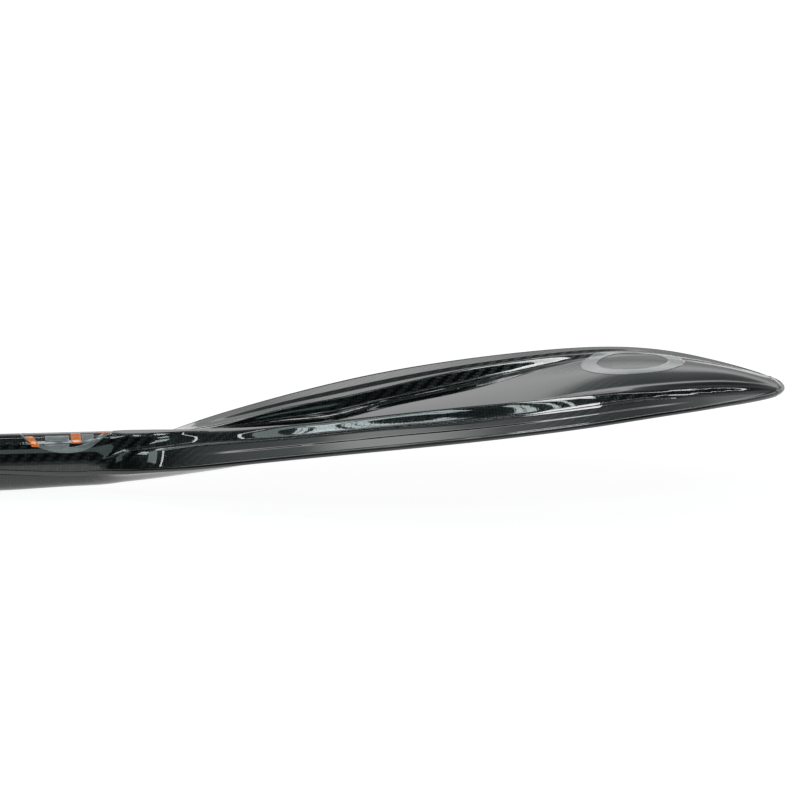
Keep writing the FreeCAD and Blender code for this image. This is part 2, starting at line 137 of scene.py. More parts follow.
def twill(tree):
    """Twill on the cloth UV map, in millimetres: whether the warp is on top (0 or 1), the height
    over the tows, and the place on the cloth with its slight wander."""
    cloth = node(tree, "ShaderNodeUVMap", {"uv_map": "cloth"}).outputs[0]
    wander = node(tree, "ShaderNodeTexNoise", vector=cloth, scale=1 / WANDER_LENGTH,
                  detail=1.0).outputs["Color"]
    shift = node(tree, "ShaderNodeVectorMath", {"operation": "MULTIPLY_ADD"},
                 in0=wander, in1=(WANDER, WANDER, 0), in2=cloth).outputs[0]
    split = node(tree, "ShaderNodeSeparateXYZ", in0=shift)
    along = maths(tree, "DIVIDE", split.outputs[0], TOW)
    across = maths(tree, "DIVIDE", split.outputs[1], TOW)
    column = maths(tree, "FLOOR", along)
    line = maths(tree, "FLOOR", across)
    step = maths(tree, "FLOORED_MODULO", maths(tree, "SUBTRACT", column, line), 4.0)
    warp = maths(tree, "LESS_THAN", step, 1.5)
    fall_a = maths(tree, "ABSOLUTE", maths(tree, "SUBTRACT", maths(tree, "FRACT", along), 0.5))
    fall_b = maths(tree, "ABSOLUTE", maths(tree, "SUBTRACT", maths(tree, "FRACT", across), 0.5))
    # each tow is flat in its middle and falls away at its sides
    edge_a = maths(tree, "POWER", maths(tree, "MULTIPLY", fall_a, 2.0), 3.0)
    edge_b = maths(tree, "POWER", maths(tree, "MULTIPLY", fall_b, 2.0), 3.0)
    round_a = maths(tree, "SUBTRACT", 1.0, edge_a)
    round_b = maths(tree, "SUBTRACT", 1.0, edge_b)
    height = node(tree, "ShaderNodeMix", {"data_type": "FLOAT"}, in0=warp, in2=round_a, in3=round_b)
    return warp, height.outputs[0], shift


def carbon_material(name, warp_tone, weft_tone, coat_roughness):
    """Clear-coated carbon twill. The tows glint across their own fibres, so warp and weft trade
    light and dark as the surface turns, under a glassy coat that mirrors the room."""
    material, tree, shader = new_material(name)
    warp, height, place = twill(tree)
    along_warp, along_weft = (STREAKS_ALONG, STREAKS_ACROSS, 1), (STREAKS_ACROSS, STREAKS_ALONG, 1)
    fibres_a = node(tree, "ShaderNodeMapping", in0=place, in3=along_warp).outputs[0]
    fibres_b = node(tree, "ShaderNodeMapping", in0=place, in3=along_weft).outputs[0]
    streak_a = node(tree, "ShaderNodeTexNoise", vector=fibres_a, scale=1.0, detail=2.0).outputs[0]
    streak_b = node(tree, "ShaderNodeTexNoise", vector=fibres_b, scale=1.0, detail=2.0).outputs[0]
    streak = node(tree, "ShaderNodeMix", {"data_type": "FLOAT"}, in0=warp, in2=streak_b, in3=streak_a)
    batch = node(tree, "ShaderNodeTexNoise", vector=place, scale=0.02, detail=3.0).outputs[0]
    shade = maths(tree, "ADD", maths(tree, "MULTIPLY", streak.outputs[0], 0.7),
                  maths(tree, "MULTIPLY", batch, 0.3))
    dim = maths(tree, "MULTIPLY", shade, maths(tree, "ADD", maths(tree, "MULTIPLY", height, 0.5), 0.5))
    base = ramp_node(tree, dim, (0.15, weft_tone), (0.7, warp_tone))
    tree.links.new(base, shader.inputs["Base Color"])
    shader.inputs["Metallic"].default_value = 0.85
    shader.inputs["Specular IOR Level"].default_value = 0.0
    shader.inputs["Specular Tint"].default_value = colour("#0a0a0a")
    shader.inputs["Roughness"].default_value = 0.34
    shader.inputs["Anisotropic"].default_value = 0.85
    tree.links.new(maths(tree, "MULTIPLY", warp, 0.25), shader.inputs["Anisotropic Rotation"])
    along = node(tree, "ShaderNodeTangent", {"direction_type": "UV_MAP", "uv_map": "cloth"})
    tree.links.new(along.outputs[0], shader.inputs["Tangent"])
    bump = node(tree, "ShaderNodeBump", strength=0.6, distance=TOW_RELIEF * MM, height=height)
    tree.links.new(bump.outputs[0], shader.inputs["Normal"])
    peel = node(tree, "ShaderNodeTexNoise", vector=place, scale=1 / RIPPLE_LENGTH, detail=1.0)
    print_through = maths(tree, "ADD", peel.outputs[0], maths(tree, "MULTIPLY", height, 0.15))
    skin = node(tree, "ShaderNodeBump", strength=0.05, distance=TOW_RELIEF * MM, height=print_through)
    tree.links.new(skin.outputs[0], shader.inputs["Coat Normal"])
    shader.inputs["Coat Weight"].default_value = 1.0
    shader.inputs["Coat Roughness"].default_value = coat_roughness
    shader.inputs["Coat IOR"].default_value = 1.52
    return material


def plain_material(name, dark, light, roughness, grain_mm=2.0, bump_mm=0.05, coat=0.0,
                   metallic=0.0, coat_roughness=0.1, glow=0.0):
    """A moulded, cast or printed finish: a fine mottle of two tones with a little relief."""
    material, tree, shader = new_material(name)
    place = node(tree, "ShaderNodeTexCoord").outputs["Object"]
    mottle = node(tree, "ShaderNodeTexNoise", vector=place, scale=1 / (grain_mm * MM), detail=3.0)
    base = ramp_node(tree, mottle.outputs[0], (0.3, dark), (0.7, light))
    tree.links.new(base, shader.inputs["Base Color"])
    rough = maths(tree, "ADD", maths(tree, "MULTIPLY", mottle.outputs[0], 0.12), roughness - 0.06)
    tree.links.new(rough, shader.inputs["Roughness"])
    bump = node(tree, "ShaderNodeBump", strength=0.4, distance=bump_mm * MM, height=mottle.outputs[0])
    tree.links.new(bump.outputs[0], shader.inputs["Normal"])
    # painted glow: the base colour also shines as emission at the glow strength, whatever light falls
    # on the part
    tree.links.new(base, shader.inputs["Emission Color"])
    shader.inputs["Emission Strength"].default_value = glow
    shader.inputs["Metallic"].default_value = metallic
    shader.inputs["Coat Weight"].default_value = coat
    shader.inputs["Coat Roughness"].default_value = coat_roughness
    return material


# Carbon cloth pressed in a polished mould under clear epoxy: near-black weave that turns to grey
# at a low angle, and mirror-sharp highlights from the coat.
carbon_back = carbon_material("clear_coated_carbon_twill", "#3c4040", "#070808", 0.025)
# A carbon tube wrapped and sanded before its lacquer: a darker weave and softer highlights.
carbon_shaft = carbon_material("wrapped_carbon_tube", "#2e3233", "#070808", 0.07)
# Cast black epoxy, rubbed round and lacquered: an even black line with a bright edge.
edge_resin = plain_material("black_epoxy_edge", "#060607", "#0e0f10", 0.3, coat=1.0,
                            coat_roughness=0.04)
# Moulded EPDM rubber: dull charcoal that doesn't mirror anything.
trim_rubber = plain_material("moulded_epdm_trim", "#0d0d0e", "#1a1a1b", 0.62, grain_mm=0.6)
# Cut PVC foam with closed cells: matt cream, pitted where the cut opens them.
foam = plain_material("closed_cell_pvc_foam", "#c9bd95", "#e2d8b6", 0.85, grain_mm=1.2, bump_mm=0.2)
# Epoxy thickened with glass bubbles and cast: matt brown-grey with a fine grit.
filled_epoxy = plain_material("microballoon_epoxy", "#6f675b", "#8a8274", 0.7, grain_mm=1.0)
# Cast vinyl film under clear lacquer: smooth black with sharp highlights.
label_film = plain_material("gloss_black_vinyl", "#08090a", "#0d0e10", 0.25, coat=1.0,
                            coat_roughness=0.03)
# Screen-printed fluorescent ink: it turns light of other colours to orange too, so it looks a little
# brighter than what is lit the same way. That extra brightness is a painted glow: a steady emission in
# the ink's own colour that shines the same under any light.
orange_ink_painted_glow = plain_material("fluorescent_orange_ink_painted_glow", "#ee7410", "#f58420", 0.35, coat=1.0,
                              coat_roughness=0.05, glow=0.3)
# Screen-printed silver ink: aluminium flakes that lighten it where it faces a lamp.
label_silver = plain_material("silver_print", "#8f9395", "#a4a8aa", 0.35, coat=1.0, metallic=0.3,
                              coat_roughness=0.05)
# Screen-printed grey ink under the clear coat: flat light grey below a glassy surface.
mark_print = plain_material("grey_ring_print", "#a5a8a9", "#b4b7b8", 0.4, coat=1.0,
                            coat_roughness=0.04)


# ---------------------------------------- blade shape
def through(*knots):
    """A smooth curve through (station, value) knots, straight beyond its ends."""
    at = [knot[0] for knot in knots]
    value = [knot[1] for knot in knots]
    last = len(knots) - 1
    gap = [at[i + 1] - at[i] for i in range(last)]
    slope = [(value[i + 1] - value[i]) / gap[i] for i in range(last)]
    pivot = [1.0] * (last + 1)
    bend = [0.0] * (last + 1)
    for i in range(1, last):
        below = gap[i - 1] if i > 1 else 0.0
        ratio = below / pivot[i - 1]
        pivot[i] = 2 * (gap[i - 1] + gap[i]) - ratio * below
        bend[i] = 6 * (slope[i] - slope[i - 1]) - ratio * bend[i - 1]
    for i in range(last - 1, 0, -1):
        bend[i] = (bend[i] - gap[i] * bend[i + 1]) / pivot[i]

    def curve(station):
        if station <= at[0]:
            return value[0] + (slope[0] - gap[0] * bend[1] / 6) * (station - at[0])
        if station >= at[last]:
            end = slope[-1] + gap[-1] * bend[last - 1] / 6
            return value[last] + end * (station - at[last])
        i = max(k for k in range(last) if at[k] <= station)
        past = station - at[i]
        left = at[i + 1] - station
        arch = (bend[i] * left ** 3 + bend[i + 1] * past ** 3) / (6 * gap[i])
        start = (value[i] / gap[i] - bend[i] * gap[i] / 6) * left
        finish = (value[i + 1] / gap[i] - bend[i + 1] * gap[i] / 6) * past
        return arch + start + finish

    return curve


# half width of the planform up to the round nose, and the height of the edge's middle
side = through((-110, 19.25), (-40, 19.25), (0, 19.6), (30, 31), (60, 47.5), (100, 63),
               (150, 77.8), (200, 89), (250, 94.6), (290, 95.2), (330, 92), (371, 81.4),
               (400, 67), (424, 49))
edge = through((-110, -0.6), (-60, -1.2), (0, -3.6), (40, 2.2), (80, 10.2), (127, 18.6),
               (190, 28.1), (255, 35.6), (322, 42), (371, 45), (415, 43.7), (463, 38.8))
# back face on the centreline, at the panel's border, on the ribs and at the ribs' feet
spine = through((0, 19), (40, 19), (80, 19), (100, 19.3), (127, 20.7), (160, 23), (190, 28),
                (225, 33.1), (255, 37.4), (290, 43.4), (322, 49.8), (345, 53.7), (371, 55.5),
                (400, 54.2), (432, 49.9), (463, 40.4))
border = through((0, 19), (40, 19), (80, 19), (100, 19.2), (127, 20.6), (160, 22.9), (190, 27.8),
                 (225, 32.8), (255, 37), (290, 43), (322, 48.6), (345, 51.8), (371, 53.4),
                 (400, 52.4), (432, 48.4), (463, 40.4))
crest = through((0, 18.7), (40, 18.8), (80, 19.2), (100, 22), (127, 26.6), (160, 30.9),
                (190, 35.2), (225, 40.4), (255, 44.4), (290, 48), (322, 50.8), (345, 52.2),
                (371, 52.4), (400, 50.9), (432, 47), (463, 40.4))
foot = through((0, 4.6), (20, 9.8), (40, 11.4), (60, 13.4), (80, 15.4), (100, 17.8), (127, 21.4),
               (160, 25.4), (190, 29.4), (225, 33.9), (255, 37.6), (290, 41.8), (322, 45.8),
               (345, 48), (371, 48.9), (400, 47.6), (432, 44.6), (463, 40.4))
# how far those lines lie from the centreline
crest_out = through((0, 5), (40, 4), (80, 5), (100, 12), (127, 20.5), (160, 26), (190, 31.4),
                    (225, 39), (255, 44.6), (290, 48.6), (322, 50), (345, 49), (371, 45.6),
                    (400, 36), (432, 23), (463, 10))
slope_in = through((0, 2), (80, 2.5), (127, 11), (190, 14), (255, 14), (322, 13), (371, 13),
                   (432, 8), (463, 3))
foot_out = through((0, 18.4), (20, 16.2), (50, 17), (80, 21), (127, 32.6), (160, 37.8),
                   (190, 43), (225, 50.6), (255, 56.6), (290, 60.6), (322, 62), (345, 60.6),
                   (371, 56.6), (400, 46.4), (432, 31), (463, 14))
# the keel on the power face, and the hollow that the power face has towards the tip
keel = through((0, 11.6), (21, 12.2), (40, 13.6), (62, 15.2), (80, 16.5), (98, 17.1), (127, 16.4),
               (160, 12.6), (190, 8.2), (225, 4), (255, 1.6), (290, 0.4), (345, 0), (463, 0))
keel_out = through((0, 19), (60, 42), (130, 52), (200, 60), (300, 72), (463, 72))
hollow = through((0, 0), (190, 0), (255, 0.4), (300, 2.6), (361, 6.4), (400, 6.4), (432, 4.2),
                 (463, 0))

# the round nose, and its bluntness: 0 is a parabola, and more of it squares the corners
NOSE_START, NOSE_LENGTH, NOSE_BLUNT = 424, 37.6, 0.215
# stations: rows start to bow towards the nose, the section leaves the neck's circle and is the
# blade's own, the bead starts and ends to widen, and the keel starts and ends to flatten
SKEW_START = 300
MORPH_START, MORPH_END = -8, 22
BEAD_START, BEAD_END = 0, 60
KEEL_START, KEEL_END = -70, 0
EDGE_THICKNESS, SKIN_THICKNESS = 3.2, 1.0
NECK_BEAD, BLADE_BEAD = 0.25, 1.6
KEEL_RADIUS = 16.8
# the fine raised line along the ribs' feet: half its width, and its height
FOOT_LINE, FOOT_RISE = 1.1, 0.32
# the panel's side, as shares of the way from its border to the crest (along, and up): a low step,
# a narrow ledge, and then the rib's inner facet
LIP_END, LIP_RISE = 0.1, 0.12
LEDGE_END, LEDGE_RISE = 0.42, 0.15
# how far the facets' ends are rounded at the low step and at the crest
LIP_SOFT, CREST_SOFT = 0.3, 2.2
# the step between the rim's two facets: where it starts and ends, as shares of the rim's width,
# its dip below and rise above a straight rim, and the stations where it grows and fades
STEP_FOOT, STEP_HEAD = 0.45, 0.52
STEP_DIP, STEP_RISE = 0.7, 0.5
STEP_GROWS, STEP_FADES = (60, 120), (330, 400)
# how near the edge the panel's border, the crest and the foot may come on the narrow throat, as
# shares of the half width, and the least width of the rim outside the foot
BORDER_LIMIT, CREST_LIMIT, FOOT_LIMIT = 0.3, 0.52, 0.76
RIM_LEAST = 0.5


def ramp(value, low, high):
    """0 below low, 1 above high, smooth between."""
    part = min(max((value - low) / (high - low), 0.0), 1.0)
    return part * part * (3 - 2 * part)


def station_at(row, across):
    """Rows are straight lines across the blade, and bow out to the nose's curve at its tip."""
    bow = max(row - SKEW_START, 0.0) / (NOSE_START - SKEW_START)
    nose = NOSE_LENGTH * (1 - (1 + NOSE_BLUNT) * across ** 2 + NOSE_BLUNT * across ** 4)
    return row + bow ** 3 * nose


def half_width(station):
    """Half width of the planform at any station, nose included."""
    if station <= NOSE_START:
        return side(station)
    left = max(1 - (station - NOSE_START) / NOSE_LENGTH, 0.0)
    root = math.sqrt((1 + NOSE_BLUNT) ** 2 - 4 * NOSE_BLUNT * left)
    return side(NOSE_START) * math.sqrt((1 + NOSE_BLUNT - root) / (2 * NOSE_BLUNT))


def bead_width(row):
    """Width of the edge bead: a fine seam on the neck, a rounded edge on the blade."""
    return NECK_BEAD + (BLADE_BEAD - NECK_BEAD) * ramp(row, BEAD_START, BEAD_END)


def facet(out, start, end, low, high, soft):
    """A straight slope from start to end, with its two ends rounded over a distance."""
    reach = max(end - start, 0.1)
    part = min(max((out - start) / reach, 0.0), 1.0)
    blend = min(soft / reach, 0.5)
    if part < blend:
        rise = part * part / (2 * blend)
    elif part > 1 - blend:
        rise = (1 - blend) - (1 - part) ** 2 / (2 * blend)
    else:
        rise = part - blend / 2
    return low + (high - low) * rise / (1 - blend)


def back_height(station, out):
    """Height of the back face at a distance from the centreline. A fine raised line follows the
    ribs' feet."""
    away = abs(out - foot_out(station)) / FOOT_LINE
    if away < 1:
        return bare_height(station, out) + FOOT_RISE * (1 - away * away) ** 2
    return bare_height(station, out)


def bare_height(station, out):
    """Height of the back face without the raised line."""
    top = crest_out(station)
    inner = top - slope_in(station)
    low = foot_out(station)
    rim = max(half_width(station) - bead_width(station), low + RIM_LEAST)
    lip = edge(station) + EDGE_THICKNESS / 2
    if out <= inner:
        return spine(station) - (spine(station) - border(station)) * (out / inner) ** 2
    if out <= top:
        base = border(station)
        rise = crest(station) - base
        lip_end = inner + (top - inner) * LIP_END
        ledge_end = inner + (top - inner) * LEDGE_END
        if out <= lip_end:
            return facet(out, inner, lip_end, base, base + LIP_RISE * rise, LIP_SOFT)
        if out <= ledge_end:
            part = (out - lip_end) / (ledge_end - lip_end)
            return base + rise * (LIP_RISE + (LEDGE_RISE - LIP_RISE) * part)
        return facet(out, ledge_end, top, base + LEDGE_RISE * rise, crest(station), CREST_SOFT)
    if out <= low:
        return facet(out, top, low, crest(station), foot(station), CREST_SOFT)
    # the rim is two facets, each falling to the edge, with a low step up between them
    part = min((out - low) / (rim - low), 1.0)
    straight = foot(station) + (lip - foot(station)) * part
    strength = ramp(station, *STEP_GROWS) * (1 - ramp(station, *STEP_FADES))
    if part < STEP_FOOT:
        return straight - STEP_DIP * strength * part / STEP_FOOT
    if part < STEP_HEAD:
        climb = (part - STEP_FOOT) / (STEP_HEAD - STEP_FOOT)
        return straight + strength * (climb * (STEP_DIP + STEP_RISE) - STEP_DIP)
    return straight + STEP_RISE * strength * (1 - part) / (1 - STEP_HEAD)


def power_height(station, out):
    """Height of the power face at a distance from the centreline."""
    share = min(out / max(half_width(station), out, 1.0), 1.0)
    bulge = max(1 - (out / keel_out(station)) ** 2, 0.0) ** 2
    flat = edge(station) - EDGE_THICKNESS / 2
    return flat - keel(station) * bulge + hollow(station) * (1 - share ** 2)


# columns that carry the centreline, the panel's border, the low step, the ledge's end, the crest,
# the foot line's start, middle and end, the rim step's foot and head, and the rim, so that every
# crease runs along an edge loop; and how far round the neck each of them starts
COLUMN_STOPS = (0, 8, 9, 12, 18, 23, 25, 27, 32, 33, 41)
NECK_SHARES = (0, 0.25, 0.275, 0.355, 0.5, 0.71, 0.75, 0.79, 0.865, 0.875, 1)
HALF_COLUMNS = COLUMN_STOPS[-1]


def between(place, places, values):
    """The value at a place, straight between the listed places."""
    spot = max(i for i in range(len(places) - 1) if places[i] <= place)
    part = (place - places[spot]) / (places[spot + 1] - places[spot])
    return values[spot] + (values[spot + 1] - values[spot]) * part


def column_out(row, column, face):
    """Distance from the centreline of one column's point."""
    rim = side(row) - bead_width(row)
    if face == "power":
        return rim * column / HALF_COLUMNS
    inner = min(crest_out(row) - slope_in(row), BORDER_LIMIT * rim)
    top = min(crest_out(row), CREST_LIMIT * rim)
    low = min(foot_out(row), FOOT_LIMIT * rim)
    stops = (0, inner, inner + (top - inner) * LIP_END, inner + (top - inner) * LEDGE_END, top,
             low - FOOT_LINE, low, low + FOOT_LINE, low + (rim - low) * STEP_FOOT,
             low + (rim - low) * STEP_HEAD, rim)
    return between(column, COLUMN_STOPS, stops)


def neck_share(step, face):
    """How far round the neck a column lies. Columns spread out there, away from the creases."""
    if face == "power":
        return step / HALF_COLUMNS
    return between(step, COLUMN_STOPS, NECK_SHARES)


def neck_point(row, share, face):
    """A point of the round neck, from its top or bottom (share 0) to its seam (share 1)."""
    lip = edge(row) + EDGE_THICKNESS / 2 * (1 if face == "back" else -1)
    tall = NECK_RADIUS
    if face == "power":
        tall = NECK_RADIUS + (KEEL_RADIUS - NECK_RADIUS) * ramp(row, KEEL_START, KEEL_END)
    seam = math.asin(lip / NECK_RADIUS) if face == "back" else math.asin(-lip / tall)
    angle = math.pi / 2 + (seam - math.pi / 2) * share
    up = tall * math.sin(angle)
    return NECK_RADIUS * math.cos(angle), up if face == "back" else -up


def skin_point(row, column, face):
    """(station, distance out, height) of a face at a row and a column, left or right."""
    step = abs(column)
    out = column_out(row, step, face)
    station = station_at(row, out / side(row))
    up = back_height(station, out) if face == "back" else power_height(station, out)
    mix = ramp(row, MORPH_START, MORPH_END)
    if mix < 1:
        round_out, round_up = neck_point(min(row, MORPH_END), neck_share(step, face), face)
        out = round_out + (out - round_out) * mix
        up = round_up + (up - round_up) * mix
    return station, math.copysign(out, column), up


def to_frame(station, out, up):
    """A place on the blade, in metres in the CAD frame."""
    return Vector(((station + SHOULDER_X) * MM, out * MM, (up + AXIS_Z) * MM))


def close_form(mesh_data):
    """Merge a rolled-up net's seam, cap its ends and face it outwards."""
    bmesh.ops.remove_doubles(mesh_data, verts=mesh_data.verts, dist=MERGE)
    open_edges = [line for line in mesh_data.edges if line.is_boundary]
    bmesh.ops.holes_fill(mesh_data, edges=open_edges)
    bmesh.ops.recalc_face_normals(mesh_data, faces=mesh_data.faces)


def finish_piece(mesh_data, name, material, stands_for, smooth=True):
    """Turn a bmesh into a piece that rides on the paddle and may stand for CAD nodes."""
    mesh = bpy.data.meshes.new(name)
    mesh_data.to_mesh(mesh)
    mesh_data.free()
    piece = bpy.data.objects.new(name, mesh)
    bpy.context.scene.collection.objects.link(piece)
    mesh.materials.append(material)
    for polygon in mesh.polygons:
        polygon.use_smooth = smooth
    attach(piece, "root")
    if stands_for:
        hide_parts(*stands_for)
    return piece


# ---------------------------------------- blade pieces
ROW_START = -NECK_LENGTH
ROWS = 250
BLADE_ROWS = [ROW_START + (NOSE_START - ROW_START) * k / ROWS for k in range(ROWS + 1)]


def lay_cloth(mesh_data, cloth_places):
    """Write the cloth UV map, in millimetres: along the paddle and over the surface."""
    layer = mesh_data.loops.layers.uv.new("cloth")
    for face in mesh_data.faces:
        for loop in face.loops:
            loop[layer].uv = cloth_places[loop.vert]


def skin_piece(face, name, stands_for):
    """One moulded skin, neck and blade in one, as a smooth shell with creases on edge loops."""
    mesh_data = bmesh.new()
    bmesh.ops.create_grid(mesh_data, x_segments=ROWS, y_segments=2 * HALF_COLUMNS, size=1)
    net = {}
    for vertex in mesh_data.verts:
        row = round((vertex.co.x + 1) / 2 * ROWS)
        column = round(vertex.co.y * HALF_COLUMNS)
        net[row, column] = vertex
    cloth_places = {}
    for row, at in enumerate(BLADE_ROWS):
        points = {column: skin_point(at, column, face)
                  for column in range(-HALF_COLUMNS, HALF_COLUMNS + 1)}
        for direction in (1, -1):
            over = 0.0
            for step in range(HALF_COLUMNS + 1):
                column = step * direction
                station, out, up = points[column]
                if step:
                    before = points[column - direction]
                    over += math.hypot(out - before[1], up - before[2])
                vertex = net[row, column]
                vertex.co = to_frame(station, out, up)
                cloth_places[vertex] = (station, over * direction)
    lay_cloth(mesh_data, cloth_places)
    if face == "power":
        bmesh.ops.reverse_faces(mesh_data, faces=mesh_data.faces)
    piece = finish_piece(mesh_data, name, carbon_back, stands_for)
    wall = piece.modifiers.new("skin_thickness", "SOLIDIFY")
    wall.thickness = SKIN_THICKNESS * MM
    wall.offset = -1


skin_piece("back", "back_skin", ["blade_back_shell"])
skin_piece("power", "power_skin", ["blade_power_shell"])


def outline_places():
    """Places round the outline: (back lip, power lip, way out, bead width), neck to neck."""
    sides = []
    last = len(BLADE_ROWS) - 1
    for direction in (-1, 1):
        run = []
        for row, at in enumerate(BLADE_ROWS):
            column = HALF_COLUMNS * direction
            here = Vector(skin_point(at, column, "back"))
            ahead = Vector(skin_point(BLADE_ROWS[min(row + 1, last)], column, "back"))
            behind = Vector(skin_point(BLADE_ROWS[max(row - 1, 0)], column, "back"))
            way = (ahead - behind).cross(Vector((0, 0, 1))) * -direction
            way.z = 0
            lip = Vector(skin_point(at, column, "power"))
            run.append((here, lip, way.normalized(), bead_width(at)))
        sides.append(run)
    nose = []
    for column in range(1 - HALF_COLUMNS, HALF_COLUMNS):
        here = Vector(skin_point(NOSE_START, column, "back"))
        ahead = Vector(skin_point(NOSE_START, column + 1, "back"))
        behind = Vector(skin_point(NOSE_START, column - 1, "back"))
        way = (ahead - behind).cross(Vector((0, 0, 1)))
        way.z = 0
        # the power skin's lip lies straight under the back skin's
        lip = here - Vector((0, 0, EDGE_THICKNESS))
        nose.append((here, lip, way.normalized(), bead_width(NOSE_START)))
    return sides[0] + nose + sides[1][::-1]


BEAD_SIDES = 12
# the bead's fullness outside, how far its inner half reaches between the skins, and how much it
# laps over their lips
BEAD_FULL, BEAD_INSIDE, BEAD_LAP = 0.8, 0.6, 1.02


def edge_bead():
    """The rounded epoxy edge that closes the two skins, from one side of the neck to the other."""
    mesh_data = bmesh.new()
    places = outline_places()
    bmesh.ops.create_grid(mesh_data, x_segments=len(places) - 1, y_segments=BEAD_SIDES, size=1)
    for vertex in mesh_data.verts:
        place = round((vertex.co.x + 1) / 2 * (len(places) - 1))
        angle = vertex.co.y * math.pi
        back, power, way, width = places[place]
        middle = (back + power) / 2
        half = (back - power) / 2
        if abs(angle) <= math.pi / 2:
            reach = math.cos(angle) ** BEAD_FULL * width
        else:
            reach = math.cos(angle) * BEAD_INSIDE
        vertex.co = to_frame(*(middle + way * reach + half * math.sin(angle) * BEAD_LAP))
    close_form(mesh_data)
    finish_piece(mesh_data, "epoxy_edge", edge_resin, ["edge_bead"])


edge_bead()


# the glue line between a core and the skins, and a core's net: rows along it, strips across it
CORE_GAP = 0.1
CORE_ROWS, CORE_STRIPS = 90, 12


def core_piece(name, low_column, high_column):
    """The filling between the skins over a run of columns, as one closed form."""
    mesh_data = bmesh.new()
    low_corner, high_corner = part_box(name)
    # the core starts where the section is the blade's own
    start = max(low_corner[0] / MM - SHOULDER_X, MORPH_END + 2)
    end = min(high_corner[0] / MM - SHOULDER_X, NOSE_START)
    round_way = 2 * CORE_STRIPS + 2
    bmesh.ops.create_grid(mesh_data, x_segments=CORE_ROWS, y_segments=round_way, size=1)
    for vertex in mesh_data.verts:
        row = start + (end - start) * (vertex.co.x + 1) / 2
        place = round((vertex.co.y + 1) / 2 * round_way) % round_way
        upper = place <= CORE_STRIPS
        part = (place if upper else round_way - 1 - place) / CORE_STRIPS
        column = low_column + (high_column - low_column) * part
        station, out, up = skin_point(row, column, "back")
        if upper:
            up -= SKIN_THICKNESS + CORE_GAP
        else:
            up = power_height(station, abs(out)) + SKIN_THICKNESS + CORE_GAP
        vertex.co = to_frame(station, out, up)
    close_form(mesh_data)
    finish_piece(mesh_data, name + "_filling", foam, [name], smooth=False)


# each core's columns stop a tenth of a column short of its neighbour's
core_piece("core_centre", -12, 12)
core_piece("rib_spar_left", 12.1, 24.9)
core_piece("rib_spar_right", -24.9, -12.1)
core_piece("core_left", 25.1, 40)
core_piece("core_right", -40, -25.1)


# ---------------------------------------- round pieces


def fix_order(items, place):
    """Corners or faces put in an order that depends only on where they are."""
    ranked = sorted(items, key=lambda item: [round(value, 7) for value in place(item)])
    for rank, item in enumerate(ranked):
        item.index = rank
    items.sort()


TURNED_SIDES = 96
SHAFT_WALL = 1.6
SHAFT_RINGS = 40


def turned_piece(name, profile, material, stands_for):
    """A piece turned on the shaft's axis from (x, radius) points, all the way round its wall."""
    mesh_data = bmesh.new()
    ring = [mesh_data.verts.new((x * MM, 0, radius * MM)) for x, radius in profile]
    lines = [mesh_data.edges.new((ring[k], ring[(k + 1) % len(ring)])) for k in range(len(ring))]
    bmesh.ops.spin(mesh_data, geom=ring + lines, cent=(0, 0, 0), axis=(1, 0, 0),
                   angle=2 * math.pi, steps=TURNED_SIDES, use_merge=True)
    bmesh.ops.remove_doubles(mesh_data, verts=mesh_data.verts, dist=MERGE / 2)
    bmesh.ops.recalc_face_normals(mesh_data, faces=mesh_data.faces)
    # spin leaves corners and faces in an order that changes from run to run
    fix_order(mesh_data.verts, lambda vertex: vertex.co)
    fix_order(mesh_data.faces, lambda face: face.calc_center_median())
    layer = mesh_data.loops.layers.uv.new("cloth")
    turn = 2 * math.pi * SHAFT_RADIUS
    for face in mesh_data.faces:
        first = face.verts[0].co
        middle = math.atan2(first.y, first.z) * SHAFT_RADIUS
        for loop in face.loops:
            place = loop.vert.co
            around = math.atan2(place.y, place.z) * SHAFT_RADIUS
            # a face that spans the seam keeps all its corners on one side of it
            if around - middle > turn / 2:
                around -= turn
            if middle - around > turn / 2:
                around += turn
            loop[layer].uv = (place.x / MM, around)
    bmesh.ops.translate(mesh_data, verts=mesh_data.verts, vec=(0, 0, AXIS_Z * MM))
    piece = finish_piece(mesh_data, name, material, stands_for)
    piece.data.set_sharp_from_angle(angle=math.radians(40))


def span(node_name):
    """A CAD node's start and end along the paddle, in millimetres."""
    low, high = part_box(node_name)
    return low[0] / MM, high[0] / MM


shaft_start, shaft_end = span("shaft_tube")
shaft_step = (shaft_end - shaft_start) / SHAFT_RINGS
shaft_profile = [(shaft_start, SHAFT_RADIUS - SHAFT_WALL)]
shaft_profile += [(shaft_start + shaft_step * k, SHAFT_RADIUS) for k in range(SHAFT_RINGS + 1)]
shaft_profile += [(shaft_end, SHAFT_RADIUS - SHAFT_WALL)]
turned_piece("carbon_shaft", shaft_profile, carbon_shaft, ["shaft_tube"])

# the mouth ring: a chamfered lip on the shaft, a smooth flare up to the neck and a small chamfer
LIP_RADIUS = SHAFT_RADIUS + 0.9
FLARE_STEPS = 8
ring_start, ring_end = span("neck_ring")
flare_start, flare_end = ring_start + 0.5, ring_end - 1
neck_ring_profile = [(ring_start, SHAFT_RADIUS), (ring_start, LIP_RADIUS - 0.4),
                     (flare_start, LIP_RADIUS)]
for k in range(1, FLARE_STEPS + 1):
    along = flare_start + (flare_end - flare_start) * k / FLARE_STEPS
    neck_ring_profile.append((along, LIP_RADIUS + (NECK_RADIUS - LIP_RADIUS) * ramp(k, 0, FLARE_STEPS)))
neck_ring_profile += [(ring_end - 0.4, NECK_RADIUS), (ring_end, NECK_RADIUS - 0.4),
                      (ring_end, SHAFT_RADIUS)]
turned_piece("neck_mouth_ring", neck_ring_profile, trim_rubber, ["neck_ring"])

